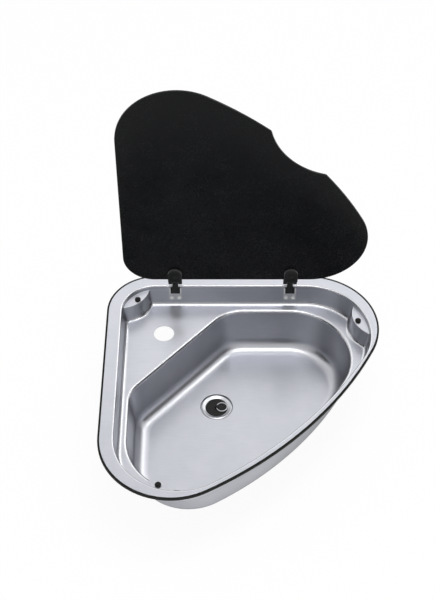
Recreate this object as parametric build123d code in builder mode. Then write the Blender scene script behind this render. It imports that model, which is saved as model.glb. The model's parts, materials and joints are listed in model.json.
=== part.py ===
"""Three-cornered drop-in sink for a camper's worktop, with a hinged glass lid.

Millimetres, +Z up. The origin is on the drain's axis, at the height of the worktop that the rim seal
rests on. +Y points to the hinges, and the bowed long side faces +X and -Y. The lid stands open at rest.
"""

from math import acos, atan2, cos, degrees, hypot, radians, sin, sqrt
import os

from build123d import *

os.makedirs("parts", exist_ok=True)

# Sheet, rim and seal
sheet = 0.8  # thickness of the pressed steel
seal_height = 4.0  # from the worktop to the underside of the flange
seal_lip = 3.5  # how far the seal stands out round the flange
seal_tuck = 2.0  # how far the seal reaches in under the flange
seal_lip_drop = 0.2  # the lip's top below the flange's top
rim_round = 3.0  # radius of the flange's inner edge
flange_edge = 0.3  # rounding of the flange's outer edge
flange_top = seal_height + sheet

# Recess that takes the lid, measured at the flange
recess_left = -176.8
recess_right = 282.7
recess_back = 186.0
recess_front = -279.5
recess_radius = {"front": 112.0, "right": 116.0, "back": 62.0}
recess_bow = 785.0  # radius of the bowed long side
recess_depth = 44.0
wall_draft = 7.6  # degrees
foot_round = 7.5  # where the wall meets the deck

# Flange round the recess
flange_left = 23.7
flange_right = 12.8
flange_back = 23.0
flange_front = 13.7
flange_radius = {"front": 124.0, "right": 123.0, "back": 85.0}
flange_bow = 726.0

# Basin, measured at the deck
ledge_left = 19.5
ledge_right = 36.0
ledge_back = 24.5
ledge_front = 31.2
basin_radius = {"front": 108.0, "right": 112.0, "upper": 75.0, "lower": 55.0}
basin_bow = 640.0
basin_depth = 88.0
basin_draft = 8.0  # degrees
floor_round = 26.0
basin_edge = 3.0  # rounding from deck to basin wall

# Tap hole on the back left of the deck, and the basin's slanted side in front of it
tap_x = -98.8
tap_y = 105.0
tap_hole_radius = 19.0
tap_ledge = 50.0  # from the tap hole's centre to the basin
slant_angle = 138.2  # direction that the slanted side faces outwards, degrees

# Corner ledges that carry the lid's rubber bumpers
pad_drop = 9.0  # below the flange's top
pad_reach = {"front": 18.5, "right": 21.0, "back": 21.0}  # from the recess wall's top edge
pad_radius = 56.0
pad_edge = 1.5
pad_sink = 0.2  # the ledge's foot runs this far into the deck
pad_run_down = 3.0  # the ledge's core goes on this far under the deck
pad_angles = {"front": 251.1, "right": 20.0, "back": 134.4}

# Glass lid, measured closed
glass_thickness = 5.0
glass_edge = 0.6
lid_gap_left = 4.0
lid_gap_right = 7.4
lid_gap_back = 14.2
lid_gap_front = 9.0
lid_radius = {"front": 107.0, "right": 103.0, "back": 57.0}
lid_bow = 690.0
lid_opening = 90.0  # from closed to the open stop, degrees
notch_radius = 128.0
notch_depth = 23.5
notch_corner = 8.0

# Bumpers
bumper_radius = 5.4
bumper_gap = 0.3  # under the closed glass
bumper_set = 7.2  # from the ledge's inmost point
bumper_stem_radius = 2.0
bumper_bulb_radius = 3.2
bumper_bulb = 2.5
bumper_dome = 1.2
stem_clearance = 0.1

# Hinges
hinge_places = {"left": -78.3, "right": 139.0}
pin_radius = 2.0
pin_length = 26.0
pin_back = 4.2  # behind the recess wall's top edge
pin_rise = 6.0  # above the flange's top
pin_fit = 0.04  # radial clearance of the turning knuckles
pin_hold = 0.02  # radial clearance in the fixed knuckle
pin_chamfer = 0.4
knuckle_radius = 4.0
block_width = 18.0
block_depth = 6.0
block_drop = 11.2  # how far the block's foot lies under its top
block_top = -1.9  # from the flange's top, along the wall
block_round = 0.8
neck_width = 11.0
neck_rise = 3.2  # from the block's brow straight up to where the neck leans back
neck_float = 1.2  # between the flange and the neck above it
neck_gap = 0.5  # between the fixed neck and the leaf's arms
plate_thickness = 1.2
plate_top = 4.0  # under the flange's top, along the wall
plate_length = 29.0
plate_corner = 2.0
tab_thickness = 1.5
tab_height = 4.5
tab_gap = 0.1
tab_length = 11.0

# Screws of the hinge plates, with their backing plates outside the wall
screw_radius = 1.5
screw_hole_radius = 1.7
screw_head_radius = 3.5
screw_head_height = 1.8
screw_socket_radius = 1.6
screw_socket_depth = 1.2
screw_spacing = 13.8
plate_width = screw_spacing + 11.2
screw_drop = 27.0  # under the flange's top, along the wall
backing_width = screw_spacing + 9.2
backing_height = 9.0
backing_thickness = 2.0
thread_clearance = 0.05

# Clamps that hold the glass
cap_radius = 12.8  # round end of the jaw in front of the glass
cap_inset = 11.8  # from the glass's back edge to the bolt's centre
jaw_inset = 16.2  # from the glass's back edge to the centre of the jaws' round ends
jaw_overhang = 2.2  # how far the front jaw reaches past the glass's back edge
jaw_corner = 2.4
cap_height = 6.0
cap_edge = 1.6
cap_ring_radius = 8.6
cap_ring_width = 2.4
cap_ring_depth = 1.2
cap_hub_radius = 5.0
cap_hub_height = 1.2
clamp_pad_thickness = 0.5
leaf_thickness = 2.0
leaf_width = 25.6
leaf_lift = 1.7  # the arms' underside above the leaf's underside
arm_start = 12.0  # from the recess wall's top edge to where the arms begin
leaf_slot_margin = 2.5
bolt_radius = 2.5
bolt_head_radius = 4.5
bolt_head_height = 2.2
bolt_depth = 4.5  # in the cap
bolt_clearance = 0.05
bush_radius = 5.9
glass_hole_radius = 6.0

# Waste
ring_radius = 28.0
dish_radius = ring_radius + 2.0
dish_depth = 4.0
drain_hole_radius = 23.2
gasket_thickness = 1.0
gasket_inner_radius = drain_hole_radius + 0.2
ring_lip = 1.6  # flat top of the ring outside its sloping face
ring_thickness = 2.6
ring_inner_thickness = 0.5
cup_radius = 20.9
cup_wall = 1.5
cup_depth = 16.0
cup_lower_radius = 19.2  # under the shoulder that the plug rests on
strainer_holes = 6
strainer_hole_radius = 3.4
strainer_circle_radius = 13.0
waste_flange_radius = dish_radius + 0.5
waste_flange_thickness = 3.0
lower_gasket_thickness = 2.0
sump_radius = 26.0
sump_wall = 2.4
sump_depth = 44.0
sump_round = 6.0
boss_radius = 8.0
boss_drop = 6.0  # boss top under the cup
insert_radius = 4.6
insert_length = 9.0
insert_clearance = 0.05
waste_screw_radius = 2.5
waste_screw_hole_radius = 2.8
waste_head_radius = 4.8
waste_head_height = 2.6
spigot_radius = 12.5
spigot_bore_radius = 10.0
spigot_length = 30.0
spigot_collar_radius = 15.0
spigot_collar = 4.0
spigot_lead = 1.0

# Plug with its pull ring
plug_clearance = 0.3
plug_top_drop = 2.2  # plug's top below the basin floor
plug_thickness = 4.6
plug_edge = 0.8
plug_skirt_radius = 17.5
plug_skirt_depth = 5.0
plug_skirt_wall = 2.5
pull_ring_radius = 9.8
pull_wire_radius = 0.9
lug_width = 4.0
lug_length = 6.0
lug_height = 4.2
lug_bore_clearance = 0.35
lug_root = 1.5  # how deep the lug is let into the plug
ring_gap = 0.3  # between the lying ring and the plug


# Outlines: rounded corners joined by straight sides, the long side by a bow

def three_corners(left, right, back, front, radius):
    """Corner circles of a three-cornered outline, counter-clockwise from the front one."""
    return [
        (left + radius["front"], front + radius["front"], radius["front"]),
        (right - radius["right"], back - radius["right"], radius["right"]),
        (left + radius["back"], back - radius["back"], radius["back"]),
    ]


def bow_centre(first, second, bow):
    """Centre of the large circle that touches both corner circles from outside the bowed side."""
    away = hypot(second[0] - first[0], second[1] - first[1])
    to_first, to_second = bow - first[2], bow - second[2]
    along = (away**2 + to_first**2 - to_second**2) / (2 * away)
    across = sqrt(to_first**2 - along**2)
    ux, uy = (second[0] - first[0]) / away, (second[1] - first[1]) / away
    return first[0] + along * ux - across * uy, first[1] + along * uy + across * ux


def side_angles(first, second, bow):
    """Directions in which the outline leaves the first corner circle and meets the second."""
    if bow:
        x, y = bow_centre(first, second, bow)
        return atan2(first[1] - y, first[0] - x), atan2(second[1] - y, second[0] - x)
    away = hypot(second[0] - first[0], second[1] - first[1])
    heading = atan2(second[1] - first[1], second[0] - first[0])
    normal = heading - acos((first[2] - second[2]) / away)
    return normal, normal


def outline(corners, bow, grow=0.0):
    """Draws the closed outline, moved outwards by grow; the side after the first corner is bowed."""
    count = len(corners)
    sides = [
        side_angles(corners[i], corners[(i + 1) % count], bow if i == 0 else None)
        for i in range(count)
    ]
    for i, (x, y, radius) in enumerate(corners):
        start = degrees(sides[i - 1][1])
        sweep = (degrees(sides[i][0]) - start) % 360
        reach = radius + grow
        CenterArc((x, y), reach, start, sweep)
        next_x, next_y, next_radius = corners[(i + 1) % count]
        leave, meet = sides[i]
        if i == 0:
            centre = bow_centre(corners[0], corners[1], bow)
            CenterArc(centre, bow + grow, degrees(leave), (degrees(meet) - degrees(leave)) % 360)
        else:
            next_reach = next_radius + grow
            Line(
                (x + reach * cos(leave), y + reach * sin(leave)),
                (next_x + next_reach * cos(meet), next_y + next_reach * sin(meet)),
            )


def outline_face(corners, bow, height, grow=0.0):
    """A closed face of the outline at the given height."""
    with BuildSketch(Plane.XY.offset(height)) as face:
        with BuildLine():
            outline(corners, bow, grow)
        make_face()
    return face.sketch


recess_corners = three_corners(
    recess_left, recess_right, recess_back, recess_front, recess_radius
)
flange_corners = three_corners(
    recess_left - flange_left,
    recess_right + flange_right,
    recess_back + flange_back,
    recess_front - flange_front,
    flange_radius,
)
lid_corners = three_corners(
    recess_left + lid_gap_left,
    recess_right - lid_gap_right,
    recess_back - lid_gap_back,
    recess_front + lid_gap_front,
    lid_radius,
)

# The basin has the same three corners, but the back left one is cut off by the slanted side
deck = flange_top - recess_depth
basin_floor = deck - basin_depth
basin_left = recess_left + ledge_left
basin_back = recess_back - ledge_back
slant_x, slant_y = cos(radians(slant_angle)), sin(radians(slant_angle))
slant_offset = slant_x * tap_x + slant_y * tap_y - tap_ledge
upper_y = basin_back - basin_radius["upper"]
upper_x = (slant_offset - basin_radius["upper"] - slant_y * upper_y) / slant_x
lower_x = basin_left + basin_radius["lower"]
lower_y = (slant_offset - basin_radius["lower"] - slant_x * lower_x) / slant_y
basin_corners = [
    (
        basin_left + basin_radius["front"],
        recess_front + ledge_front + basin_radius["front"],
        basin_radius["front"],
    ),
    (
        recess_right - ledge_right - basin_radius["right"],
        basin_back - basin_radius["right"],
        basin_radius["right"],
    ),
    (upper_x, upper_y, basin_radius["upper"]),
    (lower_x, lower_y, basin_radius["lower"]),
]

# Ledge axes: each lies outside its corner, so that the ledge is a slim lens
pads = {}
bumpers = []
for (corner_x, corner_y, corner_radius), name in zip(recess_corners, recess_radius):
    turn = radians(pad_angles[name])
    inmost = corner_radius - pad_reach[name]
    axis_away = inmost + pad_radius
    pads[name] = (corner_x + axis_away * cos(turn), corner_y + axis_away * sin(turn))
    bumper_away = inmost + bumper_set
    bumpers.append((corner_x + bumper_away * cos(turn), corner_y + bumper_away * sin(turn)))
pad_level = flange_top - pad_drop


def pad_profile(grow):
    """Half section of a corner ledge: rounded top edge, leaning wall and hollow foot."""
    lean = radians(wall_draft)
    top_x, top_z = pad_radius - pad_edge, pad_level - pad_edge
    foot_z = deck + foot_round - pad_sink
    foot_x = top_x + (pad_edge + foot_round - (foot_z - top_z) * sin(lean)) / cos(lean)
    edge, foot = pad_edge - grow, foot_round + grow
    edge_end = (top_x + edge * cos(lean), top_z + edge * sin(lean))
    middle = radians((90 + wall_draft) / 2)
    foot_middle = radians(180 + (90 + wall_draft) / 2)
    bottom = foot_z - foot
    Line((0, top_z + edge), (top_x, top_z + edge))
    ThreePointArc(
        (top_x, top_z + edge),
        (top_x + edge * cos(middle), top_z + edge * sin(middle)),
        edge_end,
    )
    foot_start = (foot_x - foot * cos(lean), foot_z - foot * sin(lean))
    Line(edge_end, foot_start)
    ThreePointArc(
        foot_start,
        (foot_x + foot * cos(foot_middle), foot_z + foot * sin(foot_middle)),
        (foot_x, bottom),
    )
    Line((foot_x, bottom), (foot_x, bottom - pad_run_down))
    Line((foot_x, bottom - pad_run_down), (0, bottom - pad_run_down))
    Line((0, bottom - pad_run_down), (0, top_z + edge))


def hole_edges(builder, height):
    """Edges round the opening in the largest level face at a height."""
    level = builder.faces().filter_by(Plane.XY).filter_by_position(
        Axis.Z, height - 0.01, height + 0.01
    )
    return level.sort_by(SortBy.AREA)[-1].inner_wires()[0].edges()


def bowl_volume(grow, margin):
    """Space of recess and basin under a plate, with every surface moved outwards by grow."""
    with BuildPart() as space:
        add(outline_face(recess_corners, recess_bow, flange_top, grow))
        extrude(amount=-(recess_depth + grow), taper=wall_draft)
        fillet(space.faces().sort_by(Axis.Z)[0].edges(), foot_round + grow)
        add(outline_face(basin_corners, basin_bow, deck, grow))
        extrude(amount=-(basin_depth + grow), taper=basin_draft)
        fillet(space.faces().sort_by(Axis.Z)[0].edges(), floor_round + grow)
        fillet(hole_edges(space, deck - grow), basin_edge - grow)
        for pad_x, pad_y in pads.values():
            with BuildSketch(Plane((pad_x, pad_y, 0), x_dir=(1, 0, 0), z_dir=(0, -1, 0))):
                with BuildLine():
                    pad_profile(grow)
                make_face()
            revolve(axis=Axis((pad_x, pad_y, 0), (0, 0, 1)), mode=Mode.SUBTRACT)
        add(outline_face(flange_corners, flange_bow, flange_top - grow, margin))
        extrude(amount=sheet)
        fillet(hole_edges(space, flange_top - grow), rim_round - grow)
    return space.part


def flat_ring(outer, inner, low, high):
    """A plain round washer on the drain's axis."""
    with BuildPart() as washer:
        with BuildSketch(Plane.XY.offset(low)):
            Circle(outer)
            Circle(inner, mode=Mode.SUBTRACT)
        extrude(amount=high - low)
    return washer.part


def save(part, name):
    """Labels a finished piece and writes it."""
    part.label = name
    export_step(part, f"parts/{name}.step")


# The back wall's own plane at a hinge: x along the wall, y up it, z out of it into the recess
wall_lean = radians(wall_draft)


def wall_plane(x, up=0.0, out=0.0):
    """Plane on the back wall, up along it from the flange's top and out from it."""
    return Plane(
        (
            x,
            recess_back + up * sin(wall_lean) - out * cos(wall_lean),
            flange_top + up * cos(wall_lean) + out * sin(wall_lean),
        ),
        x_dir=(1, 0, 0),
        z_dir=(0, -cos(wall_lean), sin(wall_lean)),
    )


# Pressed bowl: flange, lid recess with its three corner ledges, deck and basin in one sheet
with BuildPart() as sink_bowl:
    add(bowl_volume(sheet, 0.0))
    fillet(sink_bowl.faces().sort_by(Axis.Z)[-1].edges(), flange_edge)
    add(bowl_volume(0.0, 2 * sheet), mode=Mode.SUBTRACT)
    # Tap hole in the deck
    with BuildSketch(Plane.XY.offset(deck)):
        with Locations((tap_x, tap_y)):
            Circle(tap_hole_radius)
    extrude(amount=2 * sheet, both=True, mode=Mode.SUBTRACT)
    # Round dish and hole for the drain
    with BuildSketch(Plane.XY.offset(basin_floor - sheet)):
        Circle(dish_radius + sheet)
    extrude(amount=-dish_depth)
    with BuildSketch(Plane.XY.offset(basin_floor)):
        Circle(dish_radius)
    extrude(amount=-dish_depth, mode=Mode.SUBTRACT)
    with BuildSketch(Plane.XY.offset(basin_floor)):
        Circle(drain_hole_radius)
    extrude(amount=-(dish_depth + 2 * sheet), mode=Mode.SUBTRACT)
    # Stem holes of the bumpers
    with BuildSketch(Plane.XY.offset(pad_level + sheet)):
        with Locations(*bumpers):
            Circle(bumper_stem_radius + stem_clearance)
    extrude(amount=-3 * sheet, mode=Mode.SUBTRACT)
    # Screw holes of the hinge plates
    for hinge_x in hinge_places.values():
        with BuildSketch(wall_plane(hinge_x, -screw_drop)):
            with GridLocations(screw_spacing, 0, 2, 1):
                Circle(screw_hole_radius)
        extrude(amount=2 * sheet, both=True, mode=Mode.SUBTRACT)
save(sink_bowl.part, "sink_bowl")

# Rim seal: an L-shaped rubber section under and round the flange's edge
with BuildPart() as rim_seal:
    add(outline_face(flange_corners, flange_bow, 0, seal_lip))
    extrude(amount=flange_top - seal_lip_drop)
    add(outline_face(flange_corners, flange_bow, seal_height))
    extrude(amount=sheet, mode=Mode.SUBTRACT)
    add(outline_face(flange_corners, flange_bow, 0, -seal_tuck))
    extrude(amount=seal_height, mode=Mode.SUBTRACT)
save(rim_seal.part, "rim_seal")

# Three rubber bumpers: domed head, stem through the ledge and a bulb that holds it
bumper_top = flange_top - glass_thickness - bumper_gap
dome_radius = (bumper_radius**2 + bumper_dome**2) / (2 * bumper_dome)
dome_centre = bumper_top - dome_radius
with BuildPart() as lid_bumpers:
    for bumper_x, bumper_y in bumpers:
        with BuildSketch(Plane((bumper_x, bumper_y, 0), x_dir=(1, 0, 0), z_dir=(0, -1, 0))):
            with BuildLine():
                head_low, bulb_low = pad_level, pad_level - sheet - bumper_bulb
                Line((0, bulb_low), (bumper_stem_radius, bulb_low))
                Line((bumper_stem_radius, bulb_low), (bumper_bulb_radius, pad_level - sheet))
                Line((bumper_bulb_radius, pad_level - sheet), (bumper_stem_radius, pad_level - sheet))
                Line((bumper_stem_radius, pad_level - sheet), (bumper_stem_radius, head_low))
                Line((bumper_stem_radius, head_low), (bumper_radius, head_low))
                Line((bumper_radius, head_low), (bumper_radius, bumper_top - bumper_dome))
                ThreePointArc(
                    (bumper_radius, bumper_top - bumper_dome),
                    (bumper_radius / 2, dome_centre + sqrt(dome_radius**2 - bumper_radius**2 / 4)),
                    (0, bumper_top),
                )
                Line((0, bumper_top), (0, bulb_low))
            make_face()
        revolve(axis=Axis((bumper_x, bumper_y, 0), (0, 0, 1)))
save(lid_bumpers.part, "lid_bumpers")

# Hinges: a steel plate on the back wall holds a moulded block, whose neck carries the pin over the rim
pin_y = recess_back + pin_back
pin_z = flange_top + pin_rise
pin_axis = Axis((0, pin_y, pin_z), (1, 0, 0))
block_front_out = plate_thickness + block_depth
backing_out = -(sheet + backing_thickness)
for side, hinge_x in hinge_places.items():
    with BuildPart() as hinge_plate:
        with BuildSketch(wall_plane(hinge_x, -plate_top)):
            with Locations((0, -plate_length / 2)):
                RectangleRounded(plate_width, plate_length, plate_corner)
        extrude(amount=plate_thickness)
        with BuildSketch(wall_plane(hinge_x, -plate_top)):
            with Locations((0, -tab_length / 2)):
                with GridLocations(block_width + 2 * tab_gap + tab_thickness, 0, 2, 1):
                    Rectangle(tab_thickness, tab_length)
        extrude(amount=plate_thickness + tab_height)
        with BuildSketch(wall_plane(hinge_x, -screw_drop)):
            with GridLocations(screw_spacing, 0, 2, 1):
                Circle(screw_hole_radius)
        extrude(amount=plate_thickness, mode=Mode.SUBTRACT)
    save(hinge_plate.part, f"hinge_plate_{side}")

    with BuildPart() as hinge_block:
        with BuildSketch(wall_plane(hinge_x, 0, plate_thickness)):
            with Locations((0, block_top - block_drop / 2)):
                Rectangle(block_width, block_drop)
        extrude(amount=block_depth)
        fillet(hinge_block.faces().sort_by(Axis.Y)[0].edges(), block_round)
        shoulder = wall_plane(0, block_top - block_round, plate_thickness).origin
        brow = wall_plane(0, block_top - block_round, block_front_out - block_round).origin
        chin = wall_plane(0, block_top - block_drop / 2, plate_thickness).origin
        lean = knuckle_radius * sqrt(0.5)
        with BuildSketch(Plane.YZ.offset(hinge_x)):
            with BuildLine():
                Polyline(
                    (chin.Y, chin.Z),
                    (brow.Y, brow.Z),
                    (brow.Y, brow.Z + neck_rise),
                    (pin_y - lean, pin_z + lean),
                    (pin_y, pin_z),
                    (pin_y, pin_z - knuckle_radius),
                    (shoulder.Y, flange_top + neck_float),
                    (shoulder.Y, shoulder.Z),
                    close=True,
                )
            make_face()
            with Locations((pin_y, pin_z)):
                Circle(knuckle_radius)
        extrude(amount=neck_width / 2, both=True)
        with BuildSketch(Plane.YZ.offset(hinge_x)):
            with Locations((pin_y, pin_z)):
                Circle(pin_radius + pin_hold)
        extrude(amount=neck_width, both=True, mode=Mode.SUBTRACT)
    save(hinge_block.part, f"hinge_block_{side}")

    with BuildPart() as hinge_pin:
        with BuildSketch(Plane.YZ.offset(hinge_x)):
            with Locations((pin_y, pin_z)):
                Circle(pin_radius)
        extrude(amount=pin_length / 2, both=True)
        chamfer(hinge_pin.edges().filter_by(GeomType.CIRCLE), pin_chamfer)
    save(hinge_pin.part, f"hinge_pin_{side}")

    with BuildPart() as hinge_backing:
        with BuildSketch(wall_plane(hinge_x, -screw_drop, backing_out)):
            RectangleRounded(backing_width, backing_height, plate_corner)
            with GridLocations(screw_spacing, 0, 2, 1):
                Circle(screw_radius + thread_clearance, mode=Mode.SUBTRACT)
        extrude(amount=backing_thickness)
    save(hinge_backing.part, f"hinge_backing_{side}")

# Four pan-head screws hold the hinge plates
with BuildPart() as hinge_screws:
    for hinge_x in hinge_places.values():
        with BuildSketch(wall_plane(hinge_x, -screw_drop, plate_thickness)):
            with GridLocations(screw_spacing, 0, 2, 1):
                Circle(screw_head_radius)
        extrude(amount=screw_head_height)
        with BuildSketch(wall_plane(hinge_x, -screw_drop, backing_out)):
            with GridLocations(screw_spacing, 0, 2, 1):
                Circle(screw_radius)
        extrude(amount=plate_thickness - backing_out)
        with BuildSketch(
            wall_plane(hinge_x, -screw_drop, plate_thickness + screw_head_height)
        ):
            with GridLocations(screw_spacing, 0, 2, 1):
                RegularPolygon(screw_socket_radius, 6)
        extrude(amount=-screw_socket_depth, mode=Mode.SUBTRACT)
save(hinge_screws.part, "hinge_screws")


# The lid's pieces are drawn closed, lying in the recess, and then swung up to the open stop
glass_top = flange_top
glass_low = glass_top - glass_thickness
glass_back = recess_back - lid_gap_back
clamp_y = glass_back - cap_inset
jaw_y = glass_back - jaw_inset
jaw_end = glass_back + jaw_overhang
clamp_points = [(hinge_x, clamp_y) for hinge_x in hinge_places.values()]


def swung_open(part):
    """The piece turned about the hinge pins from closed to open."""
    return part.rotate(pin_axis, -lid_opening)


# Glass with its finger notch in the long side and two clamp holes
bow_x, bow_y = bow_centre(lid_corners[0], lid_corners[1], lid_bow)
leave, meet = side_angles(lid_corners[0], lid_corners[1], lid_bow)
notch_turn = (leave + meet) / 2
notch_away = lid_bow - notch_depth + notch_radius
with BuildPart() as glass_lid:
    add(outline_face(lid_corners, lid_bow, glass_low))
    extrude(amount=glass_thickness)
    with BuildSketch(Plane.XY.offset(glass_low)):
        with Locations((bow_x + notch_away * cos(notch_turn), bow_y + notch_away * sin(notch_turn))):
            Circle(notch_radius)
    extrude(amount=glass_thickness, mode=Mode.SUBTRACT)
    sharp = glass_lid.edges().filter_by(Axis.Z).sort_by_distance(
        (bow_x + lid_bow * cos(notch_turn), bow_y + lid_bow * sin(notch_turn), glass_low)
    )
    fillet(sharp[:2], notch_corner)
    chamfer(glass_lid.faces().filter_by(Plane.XY).edges(), glass_edge)
    with BuildSketch(Plane.XY.offset(glass_low)):
        with Locations(*clamp_points):
            Circle(glass_hole_radius)
    extrude(amount=glass_thickness, mode=Mode.SUBTRACT)
save(swung_open(glass_lid.part), "glass_lid")

# Clamps: a leaf with two knuckles on top of the glass, a tongue-shaped cap under it
leaf_low = glass_top + clamp_pad_thickness
arm_low = leaf_low + leaf_lift
arm_y = recess_back - arm_start
cap_top = glass_low - clamp_pad_thickness
cap_low = cap_top - cap_height
slot_width = neck_width + 2 * neck_gap
for side, hinge_x in hinge_places.items():
    with BuildPart() as hinge_leaf:
        with BuildSketch(Plane.XY.offset(leaf_low)):
            with Locations((hinge_x, (jaw_y + arm_y) / 2)):
                Rectangle(leaf_width, arm_y - jaw_y)
            with Locations((hinge_x, jaw_y)):
                Circle(leaf_width / 2)
        extrude(amount=leaf_thickness)
        with BuildSketch(Plane.YZ.offset(hinge_x)):
            with BuildLine():
                Polyline(
                    (arm_y - leaf_thickness, leaf_low),
                    (arm_y, leaf_low),
                    (arm_y + leaf_lift, arm_low),
                    (pin_y, arm_low),
                    (pin_y, pin_z + knuckle_radius),
                    (arm_y + leaf_lift, arm_low + leaf_thickness),
                    (arm_y - leaf_thickness, leaf_low + leaf_thickness),
                    close=True,
                )
            make_face()
            with Locations((pin_y, pin_z)):
                Circle(knuckle_radius)
        extrude(amount=leaf_width / 2, both=True)
        with BuildSketch(Plane.XY.offset(leaf_low)):
            slot_from = arm_y - leaf_slot_margin
            slot_to = pin_y + 2 * knuckle_radius
            with Locations((hinge_x, (slot_from + slot_to) / 2)):
                Rectangle(slot_width, slot_to - slot_from)
        extrude(amount=pin_rise + 2 * knuckle_radius, mode=Mode.SUBTRACT)
        with BuildSketch(Plane.YZ.offset(hinge_x)):
            with Locations((pin_y, pin_z)):
                Circle(pin_radius + pin_fit)
        extrude(amount=leaf_width, both=True, mode=Mode.SUBTRACT)
        with BuildSketch(Plane.XY.offset(leaf_low)):
            with Locations((hinge_x, clamp_y)):
                Circle(bolt_radius + bolt_clearance)
        extrude(amount=leaf_thickness, mode=Mode.SUBTRACT)
    save(swung_open(hinge_leaf.part), f"hinge_leaf_{side}")

    with BuildPart() as hinge_cap:
        with BuildSketch(Plane.XY.offset(cap_low)) as jaw:
            with Locations((hinge_x, jaw_y)):
                Circle(cap_radius)
            with Locations((hinge_x, (jaw_y + jaw_end) / 2)):
                Rectangle(2 * cap_radius, jaw_end - jaw_y)
            fillet(jaw.vertices().sort_by(Axis.Y)[-2:], jaw_corner)
        extrude(amount=cap_height)
        fillet(hinge_cap.faces().sort_by(Axis.Z)[0].edges(), cap_edge)
        with BuildSketch(Plane.XY.offset(cap_low)):
            with Locations((hinge_x, clamp_y)):
                Circle(cap_ring_radius)
                Circle(cap_ring_radius - cap_ring_width, mode=Mode.SUBTRACT)
        extrude(amount=cap_ring_depth, mode=Mode.SUBTRACT)
        with BuildSketch(Plane.XY.offset(cap_low)):
            with Locations((hinge_x, clamp_y)):
                Circle(cap_hub_radius)
        extrude(amount=-cap_hub_height, taper=20)
        with BuildSketch(Plane.XY.offset(cap_top)):
            with Locations((hinge_x, clamp_y)):
                Circle(bolt_radius + bolt_clearance)
        extrude(amount=-bolt_depth, mode=Mode.SUBTRACT)
    save(swung_open(hinge_cap.part), f"hinge_cap_{side}")

# Rubber pads on both faces of the glass
with BuildPart() as clamp_pads:
    for low in (glass_top, cap_top):
        with BuildSketch(Plane.XY.offset(low)):
            with Locations(*clamp_points):
                Circle(cap_radius - cap_edge)
                Circle(bolt_radius + bolt_clearance, mode=Mode.SUBTRACT)
        extrude(amount=clamp_pad_thickness)
save(swung_open(clamp_pads.part), "clamp_pads")

# Plastic bushes keep the bolts off the glass
with BuildPart() as glass_bushes:
    with BuildSketch(Plane.XY.offset(glass_low)):
        with Locations(*clamp_points):
            Circle(bush_radius)
            Circle(bolt_radius + bolt_clearance, mode=Mode.SUBTRACT)
    extrude(amount=glass_thickness)
save(swung_open(glass_bushes.part), "glass_bushes")

# Bolts from the leaf through the glass into the caps
with BuildPart() as clamp_bolts:
    with BuildSketch(Plane.XY.offset(leaf_low + leaf_thickness)):
        with Locations(*clamp_points):
            Circle(bolt_head_radius)
    extrude(amount=bolt_head_height)
    chamfer(clamp_bolts.faces().sort_by(Axis.Z)[-2:].edges(), pin_chamfer)
    with BuildSketch(Plane.XY.offset(cap_top - bolt_depth)):
        with Locations(*clamp_points):
            Circle(bolt_radius)
    extrude(amount=leaf_low + leaf_thickness - cap_top + bolt_depth)
save(swung_open(clamp_bolts.part), "clamp_bolts")


# Waste: a bright cup ring in the dish, gaskets on both sides of the sheet, and a moulded sump
dish_floor = basin_floor - dish_depth
ring_low = dish_floor + gasket_thickness
ring_top = ring_low + ring_thickness
cup_floor = basin_floor - cup_depth
cup_outer = cup_radius + cup_wall
plug_top = basin_floor - plug_top_drop
plug_low = plug_top - plug_thickness
shoulder_z = plug_low - plug_clearance
with BuildPart() as drain_flange:
    with BuildSketch(Plane.XZ):
        with BuildLine():
            Polyline(
                (0, cup_floor),
                (cup_lower_radius, cup_floor),
                (cup_lower_radius, shoulder_z),
                (cup_radius, shoulder_z),
                (cup_radius, ring_low + ring_inner_thickness),
                (ring_radius - ring_lip, ring_top),
                (ring_radius, ring_top - ring_lip / 2),
                (ring_radius, ring_low),
                (cup_outer, ring_low),
                (cup_outer, cup_floor - cup_wall),
                (0, cup_floor - cup_wall),
                close=True,
            )
        make_face()
    revolve(axis=Axis.Z)
    with BuildSketch(Plane.XY.offset(cup_floor - cup_wall)):
        Circle(waste_screw_hole_radius)
        with PolarLocations(strainer_circle_radius, strainer_holes):
            Circle(strainer_hole_radius)
    extrude(amount=cup_wall, mode=Mode.SUBTRACT)
save(drain_flange.part, "drain_flange")

upper_gasket = flat_ring(
    ring_radius - ring_lip, gasket_inner_radius, dish_floor, ring_low
)
save(upper_gasket, "drain_gasket_upper")

sump_top = dish_floor - sheet - lower_gasket_thickness
lower_gasket = flat_ring(
    waste_flange_radius, gasket_inner_radius, sump_top, dish_floor - sheet
)
save(lower_gasket, "drain_gasket_lower")

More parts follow.
